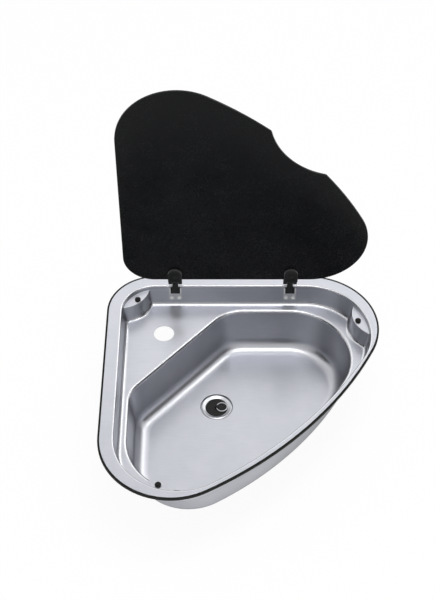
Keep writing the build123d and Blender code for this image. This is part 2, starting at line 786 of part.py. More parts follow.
# Sump with a boss for the screw's insert and a side spigot for the hose
sump_floor = sump_top - sump_depth
boss_top = cup_floor - cup_wall - boss_drop
spigot_z = sump_floor + sump_wall + spigot_bore_radius
insert_low = sump_floor + sump_wall
with BuildPart() as waste_sump:
    with BuildSketch(Plane.XY.offset(sump_floor)):
        Circle(sump_radius)
    extrude(amount=sump_depth)
    fillet(waste_sump.faces().sort_by(Axis.Z)[0].edges(), sump_round)
    with BuildSketch(Plane.XY.offset(sump_top - waste_flange_thickness)):
        Circle(waste_flange_radius)
    extrude(amount=waste_flange_thickness)
    with BuildSketch(Plane.XZ.offset(-sump_radius + sump_wall)):
        with Locations((0, spigot_z)):
            Circle(spigot_radius)
    extrude(amount=-(spigot_length + sump_wall + spigot_collar))
    with BuildSketch(Plane.XZ.offset(-sump_radius + sump_wall)):
        with Locations((0, spigot_z)):
            Circle(spigot_collar_radius)
    extrude(amount=-(sump_wall + spigot_collar))
    chamfer(waste_sump.faces().sort_by(Axis.Y)[-1].edges(), spigot_lead)
    with BuildSketch(Plane.XY.offset(sump_top)):
        Circle(sump_radius - sump_wall)
    extrude(amount=-(sump_depth - sump_wall), mode=Mode.SUBTRACT)
    with BuildSketch(Plane.XY.offset(sump_floor + sump_wall / 2)):
        Circle(boss_radius)
    extrude(amount=boss_top - sump_floor - sump_wall / 2)
    with BuildSketch(Plane.XZ.offset(-boss_radius)):
        with Locations((0, spigot_z)):
            Circle(spigot_bore_radius)
    extrude(amount=-(sump_radius + spigot_length + spigot_collar), mode=Mode.SUBTRACT)
    with BuildSketch(Plane.XY.offset(insert_low)):
        Circle(insert_radius + insert_clearance)
    extrude(amount=insert_length, mode=Mode.SUBTRACT)
    with BuildSketch(Plane.XY.offset(insert_low)):
        Circle(waste_screw_hole_radius)
    extrude(amount=boss_top - insert_low, mode=Mode.SUBTRACT)
save(waste_sump.part, "waste_sump")

with BuildPart() as waste_insert:
    with BuildSketch(Plane.XY.offset(insert_low)):
        Circle(insert_radius)
        Circle(waste_screw_radius + thread_clearance, mode=Mode.SUBTRACT)
    extrude(amount=insert_length)
save(waste_insert.part, "waste_insert")

with BuildPart() as waste_screw:
    with BuildSketch(Plane.XY.offset(cup_floor)):
        Circle(waste_head_radius)
    extrude(amount=waste_head_height)
    fillet(waste_screw.faces().sort_by(Axis.Z)[-1].edges(), pin_chamfer)
    with BuildSketch(Plane.XY.offset(insert_low)):
        Circle(waste_screw_radius)
    extrude(amount=cup_floor - insert_low)
    with BuildSketch(Plane.XY.offset(cup_floor + waste_head_height)):
        RegularPolygon(2 * screw_socket_radius, 6)
    extrude(amount=-screw_socket_depth, mode=Mode.SUBTRACT)
save(waste_screw.part, "waste_screw")

# Plug: it sits in the cup on the shoulder, and its skirt hangs below
plug_radius = cup_radius - plug_clearance
skirt_inner = plug_skirt_radius - plug_skirt_wall
lug_z = plug_top + ring_gap + pull_wire_radius
with BuildPart() as drain_plug:
    with BuildSketch(Plane.XZ):
        with BuildLine():
            Polyline(
                (0, plug_top),
                (plug_radius - plug_edge, plug_top),
                (plug_radius, plug_top - plug_edge),
                (plug_radius, plug_low),
                (plug_skirt_radius, plug_low),
                (plug_skirt_radius, plug_low - plug_skirt_depth),
                (skirt_inner, plug_low - plug_skirt_depth),
                (skirt_inner, plug_low),
                (0, plug_low),
                close=True,
            )
        make_face()
    revolve(axis=Axis.Z)
    with BuildSketch(Plane.XY.offset(plug_top)):
        Rectangle(lug_length, lug_width)
    extrude(amount=-lug_root, mode=Mode.SUBTRACT)
save(drain_plug.part, "drain_plug")

with BuildPart() as plug_lug:
    with BuildSketch(Plane.XY.offset(plug_top - lug_root)):
        Rectangle(lug_length, lug_width)
    extrude(amount=lug_height + lug_root)
    with BuildSketch(Plane.XZ):
        with Locations((0, lug_z)):
            Circle(pull_wire_radius + lug_bore_clearance)
    extrude(amount=lug_width, both=True, mode=Mode.SUBTRACT)
save(plug_lug.part, "plug_lug")

# Pull ring, lying on the plug, threaded through the lug
with BuildPart() as pull_ring:
    with BuildSketch(Plane.XZ):
        with Locations((0, lug_z)):
            Circle(pull_wire_radius)
    revolve(axis=Axis((pull_ring_radius, 0, 0), (0, 0, 1)))
save(pull_ring.part, "pull_ring")
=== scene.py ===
# %% [markdown]
# # A three-cornered sink with a glass lid
# This lesson dresses a small camper sink in Blender. Its solids come finished from a CAD program, already in
# their places, so the work here is surfaces, finishes, light and a camera.
# The first cell loads the solids and notes the box that they fill, because nothing made later may leave it.

import json
import math

import bpy
import numpy as np
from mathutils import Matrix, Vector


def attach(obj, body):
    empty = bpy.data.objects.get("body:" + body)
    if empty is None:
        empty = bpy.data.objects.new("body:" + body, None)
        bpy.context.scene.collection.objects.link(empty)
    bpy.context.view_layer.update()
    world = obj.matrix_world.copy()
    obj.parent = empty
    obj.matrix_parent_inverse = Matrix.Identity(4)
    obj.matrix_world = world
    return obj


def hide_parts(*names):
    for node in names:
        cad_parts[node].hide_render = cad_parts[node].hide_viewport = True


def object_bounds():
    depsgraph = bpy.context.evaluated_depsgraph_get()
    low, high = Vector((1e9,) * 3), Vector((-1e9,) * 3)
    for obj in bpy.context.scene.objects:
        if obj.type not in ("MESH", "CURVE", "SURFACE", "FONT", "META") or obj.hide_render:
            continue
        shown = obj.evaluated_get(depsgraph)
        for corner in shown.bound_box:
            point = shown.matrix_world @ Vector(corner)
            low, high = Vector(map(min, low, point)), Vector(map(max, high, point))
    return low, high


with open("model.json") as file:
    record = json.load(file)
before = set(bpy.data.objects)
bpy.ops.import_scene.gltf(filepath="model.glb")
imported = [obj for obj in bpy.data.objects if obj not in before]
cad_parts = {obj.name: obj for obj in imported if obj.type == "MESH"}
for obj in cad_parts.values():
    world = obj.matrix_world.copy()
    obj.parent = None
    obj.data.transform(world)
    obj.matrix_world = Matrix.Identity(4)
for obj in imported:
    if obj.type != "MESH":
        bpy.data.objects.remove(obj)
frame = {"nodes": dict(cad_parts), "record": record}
cad_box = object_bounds()
nodes = frame["nodes"]
print("solids:", len(nodes), "box:", cad_box)

# %% [markdown]
# ## Camera
# The picture was taken from in front and above, so the round drain shows as an oval about three quarters as tall as
# it is wide: the lens looks down at 47 degrees. A lens of 78 mm from 2.3 m away gives the same mild narrowing
# towards the bottom of the bowl as in the picture.

# %% Camera above and in front of the sink
looks_down = 47.1
camera_data = bpy.data.cameras.new("camera")
camera_data.lens = 78.0
camera_data.sensor_width = 36.0
camera = bpy.data.objects.new("camera", camera_data)
camera.location = (0.0017, -1.5105, 1.7915)
camera.rotation_euler = (math.radians(90.0 - looks_down), 0.0, 0.0)
bpy.context.collection.objects.link(camera)
bpy.context.scene.camera = camera
print("camera distance:", round(camera.location.length, 2), "m")

# %% [markdown]
# ## Colours and nodes
# Colours are read off as screen colours, in hex. The renderer adds light, so it wants linear values: each channel
# goes through the screen's own curve once, in one function. A second small function adds a node with its settings
# and links, which keeps every recipe below short.

# %% Screen colour to linear, and one helper for nodes
def linear(hex_colour):
    """Screen colour to linear light: below 0.04045 divide by 12.92, above it ((c + 0.055) / 1.055) to the 2.4."""
    channels = np.array([int(hex_colour[i : i + 2], 16) / 255 for i in (1, 3, 5)])
    curve = np.where(channels <= 0.04045, channels / 12.92, ((channels + 0.055) / 1.055) ** 2.4)
    return (*curve.tolist(), 1.0)


def add_node(tree, kind, settings=None, inputs=None):
    """Adds a node, sets its properties, then sets each input to a value or links it to a socket."""
    node = tree.nodes.new(kind)
    for name, value in (settings or {}).items():
        setattr(node, name, value)
    for name, value in (inputs or {}).items():
        if isinstance(value, bpy.types.NodeSocket):
            tree.links.new(value, node.inputs[name])
        else:
            node.inputs[name].default_value = value
    return node


def new_finish(name, colour, **values):
    """A fresh material with one principled shader; the values go straight onto its sockets."""
    material = bpy.data.materials.new(name)
    material.use_nodes = True
    shader = material.node_tree.nodes["Principled BSDF"]
    shader.inputs["Base Color"].default_value = linear(colour)
    for socket, value in values.items():
        shader.inputs[socket.replace("_", " ").title().replace("Ior", "IOR")].default_value = value
    return material, material.node_tree, shader


print("mid grey #808080 is", round(linear("#808080")[0], 3), "in linear light")

# %% [markdown]
# ## Floor and backdrop
# The picture is a cut-out on white. A white floor and a white surround stand in for the paper, and the camera sees
# both as plain white, with only a faint shadow left on the floor. The steel sees a softer grey there, because a
# mirror in an all-white room shows no shape.

# %% Surround: white to the camera, a soft grey dome to everything else
room_light = 0.8
world = bpy.data.worlds.new("studio")
bpy.context.scene.world = world
world.use_nodes = True
sky = world.node_tree
sky.nodes.clear()
rays = add_node(sky, "ShaderNodeLightPath")
strength = add_node(
    sky,
    "ShaderNodeMath",
    {"operation": "MULTIPLY_ADD"},
    {0: rays.outputs["Is Camera Ray"], 1: 1.0 - room_light, 2: room_light},
)
dome = add_node(sky, "ShaderNodeBackground", inputs={"Color": (1, 1, 1, 1), "Strength": strength.outputs[0]})
add_node(sky, "ShaderNodeOutputWorld", inputs={"Surface": dome.outputs[0]})
print("dome strength:", room_light)

# %% Floor of white paper
floor_gap, floor_reach = 0.0005, 6.0
camera_glow, mirror_glow = 0.93, 0.15
bpy.context.scene.view_settings.view_transform = "Standard"
floor_z = cad_box[0][2] - floor_gap
floor_mesh = bpy.data.meshes.new("floor")
floor_corners = [(x * floor_reach, y * floor_reach, floor_z) for x, y in ((-1, -1), (1, -1), (1, 1), (-1, 1))]
floor_mesh.from_pydata(floor_corners, [], [(0, 1, 2, 3)])
floor = bpy.data.objects.new("floor", floor_mesh)
bpy.context.collection.objects.link(floor)
floor_finish, tree, shader = new_finish("white_paper", "#F4F4F4", roughness=0.9)
rays = add_node(tree, "ShaderNodeLightPath")
glow = add_node(tree, "ShaderNodeEmission", inputs={"Color": (1, 1, 1, 1), "Strength": 1.0})
mirrored = add_node(
    tree,
    "ShaderNodeMath",
    {"operation": "ADD"},
    {0: rays.outputs["Is Glossy Ray"], 1: rays.outputs["Is Transmission Ray"]},
)
mirrored = add_node(tree, "ShaderNodeMath", {"operation": "MULTIPLY"}, {0: mirrored.outputs[0], 1: mirror_glow})
share = add_node(
    tree,
    "ShaderNodeMath",
    {"operation": "MULTIPLY_ADD"},
    {0: rays.outputs["Is Camera Ray"], 1: camera_glow, 2: mirrored.outputs[0]},
)
paper = add_node(
    tree, "ShaderNodeMixShader", inputs={0: share.outputs[0], 1: shader.outputs[0], 2: glow.outputs[0]}
)
tree.links.new(paper.outputs[0], tree.nodes["Material Output"].inputs["Surface"])
floor_mesh.materials.append(floor_finish)
print("floor height:", round(floor_z, 4), "m")

# %% [markdown]
# ## Soft box
# One wide lamp above the sink, a little to the right and in front, gives the soft light of the picture. The steel
# doesn't mirror the lamp itself, whose hard edge would cross the basin as a hot stripe. It mirrors the cards of the
# next step in its place.

# %% Lamp above
def soft_box(name, place, target, width, height, watts):
    """A rectangular lamp at a place, its face turned to the target by the slope and the heading of the line there."""
    data = bpy.data.lights.new(name, "AREA")
    data.shape = "RECTANGLE"
    data.size = width
    data.size_y = height
    data.energy = watts
    lamp = bpy.data.objects.new(name, data)
    lamp.location = place
    x, y, z = (target[i] - place[i] for i in range(3))
    lamp.rotation_euler = (math.atan2(math.hypot(x, y), -z), 0.0, math.atan2(-x, y))
    bpy.context.collection.objects.link(lamp)
    return lamp


top_box = soft_box("top_box", place=(0.3, -0.42, 3.0), target=(0.0, 0.0, 0.0), width=1.6, height=0.6, watts=36.0)
top_box.visible_glossy = False
print("lamp:", top_box.name, top_box.data.energy, "W")

# %% [markdown]
# ## Cards that only the steel sees
# Steel has little colour of its own, and what the eye reads as its shape is the room that it mirrors. So a
# photographer stands dark and white cards round it. Here felt hangs round the front and the sides, where the basin's
# far walls mirror it and turn dark, and white cards behind, to the right and overhead give the bends their bright
# lines. The cards are hidden from the camera, throw no shadow and light nothing but the steel.

# %% A card, and a strip of card on a circle
def mirrored_card(name, points, faces, finish):
    """A stage surface that shows in reflections alone: it casts no shadow and gives no light of its own."""
    mesh = bpy.data.meshes.new(name)
    mesh.from_pydata(points.tolist(), [], faces.tolist())
    mesh.materials.append(finish)
    card = bpy.data.objects.new(name, mesh)
    bpy.context.collection.objects.link(card)
    card.visible_camera = False
    card.visible_shadow = False
    card.visible_diffuse = False
    return card


def curtain(start, stop, low, high, radius, count=49):
    """Points and faces of an upright strip on a circle: (radius cos t, radius sin t, low or high)."""
    turn = np.radians(np.linspace(start, stop, count))
    ring = np.stack([radius * np.cos(turn), radius * np.sin(turn)], 1)
    points = np.concatenate([np.column_stack([ring, np.full(count, level)]) for level in (low, high)])
    step = np.arange(count - 1)
    return points, np.stack([step, step + 1, step + 1 + count, step + count], 1)


# %% Felt round the front, black below and grey above
felt = new_finish("black_felt", "#1A1A1A", roughness=1.0)[0]
mirrored_card("dark_curtain", *curtain(172.0, 368.0, low=-0.18, high=2.2, radius=1.9), felt)
grey_felt = new_finish("grey_felt", "#C0C0C0", roughness=1.0)[0]
mirrored_card("grey_curtain", *curtain(215.0, 325.0, low=0.3, high=3.5, radius=1.85), grey_felt)
print("felt:", felt.name, grey_felt.name)


# %% White cards behind, to the right and overhead
def glowing(name, strength):
    """A white card that glows by itself, left out of the lamps that the renderer aims at."""
    material, _, shader = new_finish(name, "#000000", roughness=1.0)
    shader.inputs["Emission Color"].default_value = (1.0, 1.0, 1.0, 1.0)
    shader.inputs["Emission Strength"].default_value = strength
    material.cycles.emission_sampling = "NONE"
    return material


card_radius = 2.6
mirrored_card("back_card", *curtain(60.0, 130.0, 1.2, 3.4, card_radius), glowing("dim_card", 1.35))
mirrored_card("right_card", *curtain(42.0, 66.0, 1.0, 2.3, card_radius), glowing("bright_card", 2.4))
mirrored_card("side_card", *curtain(28.0, 48.0, 3.4, 5.0, card_radius), glowing("small_bright_card", 5.0))
ceiling = np.array([(-0.6, -0.9, 3.0), (1.2, -0.9, 3.0), (1.2, -0.2, 3.0), (-0.6, -0.2, 3.0)])
mirrored_card("top_card", ceiling, np.array([[0, 1, 2, 3]]), glowing("ceiling_card", 5.0))
print("cards overhead from", ceiling[0], "to", ceiling[2])

# %% [markdown]
# ## One recipe for a worked surface
# Every finish below starts from the real material and how its surface was made. Stamped, moulded and ground surfaces
# still have one thing in common: a soft unevenness over some millimetres, and a grain much finer than that. One
# function lays both as noise on the object's own coordinates and lets them move roughness, colour and bump, so each
# recipe is only a line of real sizes. Grain too fine for the picture is drawn coarser, and its comment says so.

# %% Blotches, grain and relief in millimetres
# Each noise keeps close to 0.5, so the sum of two runs between about these limits
least_sum, greatest_sum = 0.75, 1.25


def worked(name, colours, rough, blotch, grain, relief, stretch=(1.0, 1.0, 1.0), **values):
    """A finish whose colour and roughness run between two values, with blotches, grain and relief in millimetres.

    The grain noise has its axes divided by stretch, and its height times relief is the bump."""
    material, tree, shader = new_finish(name, colours[0], **values)
    place = add_node(tree, "ShaderNodeTexCoord").outputs["Object"]
    drawn = add_node(tree, "ShaderNodeMapping", inputs={"Vector": place, "Scale": [1.0 / part for part in stretch]})
    fine = add_node(
        tree, "ShaderNodeTexNoise", inputs={"Vector": drawn.outputs[0], "Scale": 1000.0 / grain, "Detail": 2.0}
    )
    broad = add_node(tree, "ShaderNodeTexNoise", inputs={"Vector": place, "Scale": 1000.0 / blotch, "Detail": 3.0})
    both = add_node(
        tree, "ShaderNodeMath", {"operation": "ADD"}, {0: fine.outputs["Fac"], 1: broad.outputs["Fac"]}
    )
    share = add_node(
        tree,
        "ShaderNodeMapRange",
        inputs={"Value": both.outputs[0], "From Min": least_sum, "From Max": greatest_sum},
    )
    roughness = add_node(
        tree, "ShaderNodeMapRange", inputs={"Value": share.outputs[0], "To Min": rough[0], "To Max": rough[1]}
    )
    # Sockets 6 and 7 of a Mix node are its colours, and output 2 is their mixture
    colour = add_node(
        tree,
        "ShaderNodeMix",
        {"data_type": "RGBA"},
        {0: share.outputs[0], 6: linear(colours[0]), 7: linear(colours[1])},
    )
    bump = add_node(
        tree, "ShaderNodeBump", inputs={"Height": fine.outputs["Fac"], "Distance": relief / 1000, "Strength": 1.0}
    )
    tree.links.new(roughness.outputs[0], shader.inputs["Roughness"])
    tree.links.new(colour.outputs[2], shader.inputs["Base Color"])
    tree.links.new(bump.outputs[0], shader.inputs["Normal"])
    return material, tree, shader, roughness, colour


print("worked finish: blotches and grain between", least_sum, "and", greatest_sum)

# %% [markdown]
# ## Satin stainless steel
# The bowl is deep-drawn from stainless sheet that was ground satin along its length, so its fine lines run from left
# to right. A die slides over the sheet at every bend and burnishes it there, so bends are smoother than flats. Their
# lighter colour is a painted highlight, which draws the bright lines on the bends. Where the steel is seen edge on,
# and earlier on the bends, its colour is darkened towards a dark grey: painted shade, which draws the dark walls and
# the dark outlines. The bends come from a mark that the bowl's own mesh will carry on them, the angle from Layer
# Weight.

# %% Pressed satin steel
# The lines of a real satin grind are about 0.1 mm apart. Here they are 1.2 mm, or they would vanish at this size.
bowl_steel, tree, shader, roughness, colour = worked(
    "pressed_satin_stainless_steel",
    ("#C3C5CC", "#CBCCD3"),
    rough=(0.33, 0.36),
    blotch=45.0,
    grain=1.2,
    relief=0.006,
    stretch=(30.0, 1.0, 1.0),
    metallic=1.0,
)
print("steel lines drawn 1.2 mm apart in", bowl_steel.name)

# %% Burnished bends with a painted highlight, and painted shade at a glancing look
burnished_roughness, deepest_painted_shade = 0.24, 0.95
bend = add_node(tree, "ShaderNodeAttribute", {"attribute_name": "burnish_and_painted_lines"}).outputs["Fac"]
# Painted highlight: the bends are lightened towards a pale steel
painted_bend_highlight = add_node(
    tree, "ShaderNodeMix", {"data_type": "RGBA"}, {0: bend, 6: colour.outputs[2], 7: linear("#E4E5E9")}
)
# Painted shade: facing is 0 where the steel faces the eye and 1 where it is seen edge on. Flats darken late, bends
# earlier, which draws dark outlines on them.
facing = add_node(tree, "ShaderNodeLayerWeight", inputs={"Blend": 0.5}).outputs["Facing"]
painted_glancing_shade = add_node(
    tree, "ShaderNodeMapRange", inputs={"Value": facing, "From Min": 0.7, "From Max": 1.0, "To Max": deepest_painted_shade}
)
turning = add_node(tree, "ShaderNodeMapRange", inputs={"Value": facing, "From Min": 0.42, "From Max": 0.75})
# Painted shade on the bends, where they turn away from the eye: dark outlines
painted_bend_outline = add_node(tree, "ShaderNodeMath", {"operation": "MULTIPLY"}, {0: turning.outputs[0], 1: bend})
painted_shade = add_node(tree, "ShaderNodeMath", {"operation": "MAXIMUM"}, {0: painted_glancing_shade.outputs[0], 1: painted_bend_outline.outputs[0]})
steel_with_painted_light = add_node(
    tree,
    "ShaderNodeMix",
    {"data_type": "RGBA"},
    {0: painted_shade.outputs[0], 6: painted_bend_highlight.outputs[2], 7: linear("#4E4F53")},
)
smooth = add_node(
    tree,
    "ShaderNodeMapRange",
    inputs={"Value": bend, "To Min": roughness.outputs[0], "To Max": burnished_roughness},
)
tree.links.new(steel_with_painted_light.outputs[2], shader.inputs["Base Color"])
tree.links.new(smooth.outputs[0], shader.inputs["Roughness"])
print("steel nodes:", len(tree.nodes))

# %% [markdown]
# ## Steel of the hinge plates
# The plates are stamped from sheet and tumbled, which leaves them pale and matt. Two tabs of each plate stand out
# from the wall and hold the black block between them. The thin white lines of their sides are a painted highlight:
# whatever stands out from the wall by more than 2 to 3 mm is a tab, and turns near white and less metallic. An edge
# mask from the mesh would need a bake, so a dot product with the wall's normal measures the distance instead.

# %% Stamped plates with a painted highlight on the tabs
# Tumbling leaves dents of about 0.1 mm, drawn 0.9 mm here so that they show
wall_draft = 7.6
lip_y, lip_z = 0.186, 0.0048
tab_start, tab_full = 0.002, 0.003
tab_metallic, plate_metallic = 0.3, 0.92
hinge_steel, tree, shader, _, colour = worked(
    "tumbled_stainless_steel", ("#CDCED1", "#DEDFE1"), (0.42, 0.52), 9.0, 0.9, 0.01
)
wall_lean = math.radians(wall_draft)
into_recess = (0.0, -math.cos(wall_lean), math.sin(wall_lean))
wall_place = -lip_y * math.cos(wall_lean) + lip_z * math.sin(wall_lean)
place = add_node(tree, "ShaderNodeTexCoord").outputs["Object"]
from_wall = add_node(tree, "ShaderNodeVectorMath", {"operation": "DOT_PRODUCT"}, {0: place, 1: into_recess})
tab_highlight_mask = add_node(
    tree,
    "ShaderNodeMapRange",
    inputs={
        "Value": from_wall.outputs["Value"],
        "From Min": wall_place + tab_start,
        "From Max": wall_place + tab_full,
    },
)
# Painted highlight: the tabs turn near white, and less metallic in the next node
painted_tab_highlight = add_node(
    tree, "ShaderNodeMix", {"data_type": "RGBA"}, {0: tab_highlight_mask.outputs[0], 6: colour.outputs[2], 7: linear("#FAFAFA")}
)
metal = add_node(
    tree,
    "ShaderNodeMapRange",
    inputs={"Value": tab_highlight_mask.outputs[0], "To Min": plate_metallic, "To Max": tab_metallic},
)
tree.links.new(painted_tab_highlight.outputs[2], shader.inputs["Base Color"])
tree.links.new(metal.outputs[0], shader.inputs["Metallic"])
print("tabs start", tab_start * 1000, "mm from the wall")

# %% [markdown]
# ## Other metals
# Screws and bolts are turned and plated, the drain ring and pull ring are chromed over a polished body, the hinge
# pins carry a film of oil, and the insert is turned brass. They are small, so the grain has to be finer than on the
# bowl, and what tells them apart is mostly their roughness.

# %% Turned, chromed, oiled and brass
# In each call: two colours, least and greatest roughness, then blotches, grain and relief. Real tool marks are
# 0.02 to 0.1 mm apart. Here the grain is 0.5 to 0.8 mm, or it would vanish at this size.
fastener_steel = worked("zinc_plated_steel", ("#EDEDEC", "#FAFAF8"), (0.34, 0.46), 5.0, 0.6, 0.01, metallic=0.5)[0]
chrome = worked("chromed_brass", ("#D9DBDF", "#E8E9EC"), (0.3, 0.36), 12.0, 0.8, 0.004, metallic=1.0)[0]
oiled_steel = worked("oiled_steel", ("#6C6D6F", "#7E7F81"), (0.35, 0.45), 3.0, 0.5, 0.005, metallic=1.0)[0]
brass = worked(
    "turned_brass", ("#C9A45C", "#DDBE7C"), (0.22, 0.34), 4.0, 0.5, 0.01, stretch=(8.0, 8.0, 1.0), metallic=1.0
)[0]
print("metals:", [finish.name for finish in (hinge_steel, fastener_steel, oiled_steel, chrome, brass)])

# %% [markdown]
# ## Rubber and plastics
# The seal is extruded rubber: dull, with a faint bloom. The hinge blocks are moulded from glass-filled nylon in a
# spark-eroded tool, which leaves an even, slightly coarse grain. The plug is smoother, the waste under it is
# polypropylene with soft flow marks, and the bushes in the glass are nylon without any dye.

# %% Extruded and moulded finishes
# The grain of a moulding tool is about 0.05 mm, and is drawn 0.5 to 0.8 mm for the same reason as on the metals.
rubber = worked(
    "extruded_black_rubber", ("#0F100E", "#1A1B18"), (0.52, 0.68), 14.0, 0.7, 0.02, specular_ior_level=0.15
)[0]
hinge_nylon = worked(
    "moulded_glass_filled_nylon", ("#191A1A", "#292A2A"), (0.48, 0.6), 6.0, 0.5, 0.03, specular_ior_level=0.2
)[0]
plug_plastic = worked(
    "moulded_black_acetal", ("#080807", "#10110E"), (0.36, 0.46), 8.0, 0.6, 0.008, specular_ior_level=0.3
)[0]
waste_plastic = worked(
    "moulded_black_polypropylene", ("#161617", "#222223"), (0.45, 0.6), 18.0, 0.8, 0.02, specular_ior_level=0.3
)[0]
natural_nylon = worked("natural_nylon", ("#C2BFB2", "#D6D3C8"), (0.4, 0.52), 4.0, 0.5, 0.01)[0]
print("plastics:", [finish.name for finish in (rubber, hinge_nylon, plug_plastic, waste_plastic, natural_nylon)])

# %% [markdown]
# ## Black glass
# The lid is toughened float glass, printed black on its underside and fired. Clean glass would mirror the room, but
# in the picture it is one even dark field, so its gloss is held down. What is left is the faint cloudiness of the
# fired enamel and a film of dust, a few centimetres across.

# %% Toughened glass over black enamel
black_glass = worked(
    "toughened_black_enamelled_glass", ("#0D0E0F", "#121314"), (0.2, 0.3), 60.0, 3.0, 0.0005, specular_ior_level=0.12
)[0]
print("glass:", black_glass.name)

# %% [markdown]
# ## Bowl
# The bowl is one steel sheet, pressed in two steps: a shallow recess that takes the lid, and a deep basin in its
# deck. It could be cut from a block with booleans, but a pressing has no sharp corner anywhere, so here it is one
# surface of rows. Every row is a closed ring that keeps the same number of points, from the flange's outer edge in
# to the drain. The recess rings follow the normals of its outline, and the basin rings are spaced by direction from
# the drain.

# %% Outline of a three- or four-cornered pressing
arc_points, fine_points = 161, 3000


def touching(first, second, bow):
    """Directions in which a side leaves one corner circle and meets the next, with the large circle's centre.

    A bowed side is an arc that both corner circles touch from inside, so its centre is bow - radius from each of
    them. A straight side is their common tangent, whose normal lies acos(radius difference / distance) off the line
    between the centres."""
    away, heading = math.dist(first[:2], second[:2]), math.atan2(second[1] - first[1], second[0] - first[0])
    if not bow:
        normal = heading - math.acos((first[2] - second[2]) / away)
        return normal, normal, None
    along = (away**2 + (bow - first[2]) ** 2 - (bow - second[2]) ** 2) / (2 * away)
    across = math.sqrt((bow - first[2]) ** 2 - along**2)
    x = first[0] + along * math.cos(heading) - across * math.sin(heading)
    y = first[1] + along * math.sin(heading) + across * math.cos(heading)
    return math.atan2(first[1] - y, first[0] - x), math.atan2(second[1] - y, second[0] - x), (x, y)


def outline(corners, bow, grow=0.0):
    """Points (x, y) and outward normals all round: corner arcs centre + (radius + grow) (cos t, sin t) in turn.

    Only the bowed side after the first corner needs points of its own. The straight sides run from the last point
    of one arc to the first of the next."""
    count = len(corners)
    sides = [touching(corners[i], corners[(i + 1) % count], bow if i == 0 else None) for i in range(count)]
    points, normals = [], []
    for i, (x, y, radius) in enumerate(corners):
        arcs = [(x, y, radius, sides[i - 1][1], sides[i][0])]
        if i == 0:
            arcs.append((*sides[0][2], bow, sides[0][0], sides[0][1]))
        for centre_x, centre_y, arc_radius, start, stop in arcs:
            t = start + (stop - start) % (2 * math.pi) * np.linspace(0.0, 1.0, arc_points)
            normal = np.stack([np.cos(t), np.sin(t)], 1)
            points.append(np.array([centre_x, centre_y]) + (arc_radius + grow) * normal)
            normals.append(normal)
    return np.concatenate(points), np.concatenate(normals)


def even_steps(points, normals, count):
    """The same closed line at equal steps of its length, by interpolation along the running sum of its steps."""
    closed = np.concatenate([points, points[:1]])
    length = np.concatenate([[0.0], np.cumsum(np.linalg.norm(np.diff(closed, axis=0), axis=1))])
    at = np.linspace(0.0, length[-1], count, endpoint=False)
    turned = np.concatenate([normals, normals[:1]])
    values = [np.interp(at, length, column) for column in (*closed.T, *turned.T)]
    even, facing = np.stack(values[:2], 1), np.stack(values[2:], 1)
    return even, facing / np.linalg.norm(facing, axis=1, keepdims=True)


def reach(corners, bow, grow, direction):
    """How far the outline lies from the drain's axis in each direction, read off its own points by their angle."""
    points, _ = even_steps(*outline(corners, bow, grow), fine_points)
    angle = np.arctan2(points[:, 1], points[:, 0])
    order = np.argsort(angle)
    return np.interp(direction, angle[order], np.hypot(*points.T)[order], period=2 * math.pi)


print("points per corner arc:", arc_points)

# %% [markdown]
# ## Sizes of the bowl
# The drain is the centre, and all sizes are in millimetres. Each outline is a list of corner circles (x, y, radius),
# from the front corner round by the right to the back. The long side between the first two bows out, as an arc of a
# very large circle. The basin has a fourth corner, because it slants past the tap hole to leave room for the tap.

# %% Heights, corner circles and the slanted side
flange_top, sheet, deck, basin_floor = 4.8, 0.8, -39.2, -127.2
recess = [(-64.8, -167.5, 112.0), (166.7, 70.0, 116.0), (-114.8, 124.0, 62.0)]
flange = [(-76.5, -169.2, 124.0), (172.5, 86.0, 123.0), (-115.5, 124.0, 85.0)]
recess_bow, flange_bow, basin_bow = 785.0, 726.0, 640.0
tap_x, tap_y, tap_radius, tap_to_slant = -98.8, 105.0, 19.0, 50.0
back_radius, left_radius = 75.0, 55.0
slant = np.radians(138.2)
slant_x, slant_y = math.cos(slant), math.sin(slant)
slant_away = slant_x * tap_x + slant_y * tap_y - tap_to_slant
back_y, left_x = 161.5 - back_radius, -157.3 + left_radius
basin = [
    (-49.3, -140.3, 108.0),
    (134.7, 49.5, 112.0),
    ((slant_away - back_radius - slant_y * back_y) / slant_x, back_y, back_radius),
    (left_x, (slant_away - left_radius - slant_x * left_x) / slant_y, left_radius),
]
front_and_right = np.radians([-90.0, 0.0])
print("drain to basin wall, front and right:", reach(basin, basin_bow, 0.0, front_and_right).round(1), "mm")

# %% [markdown]
# ## Rows from a profile
# Across its edge the sheet runs flat, turns, runs down a drafted wall and turns again. Such a profile is a few
# straight runs with rounded corners, so one function rounds a corner and gives the rows that it takes. It works on
# the whole ring at once, because the runs differ from point to point where a ledge stands in the way.

# %% One rounded corner of the profile
guard, least_tangent, tangent_share = 1.0, 0.25, 0.96


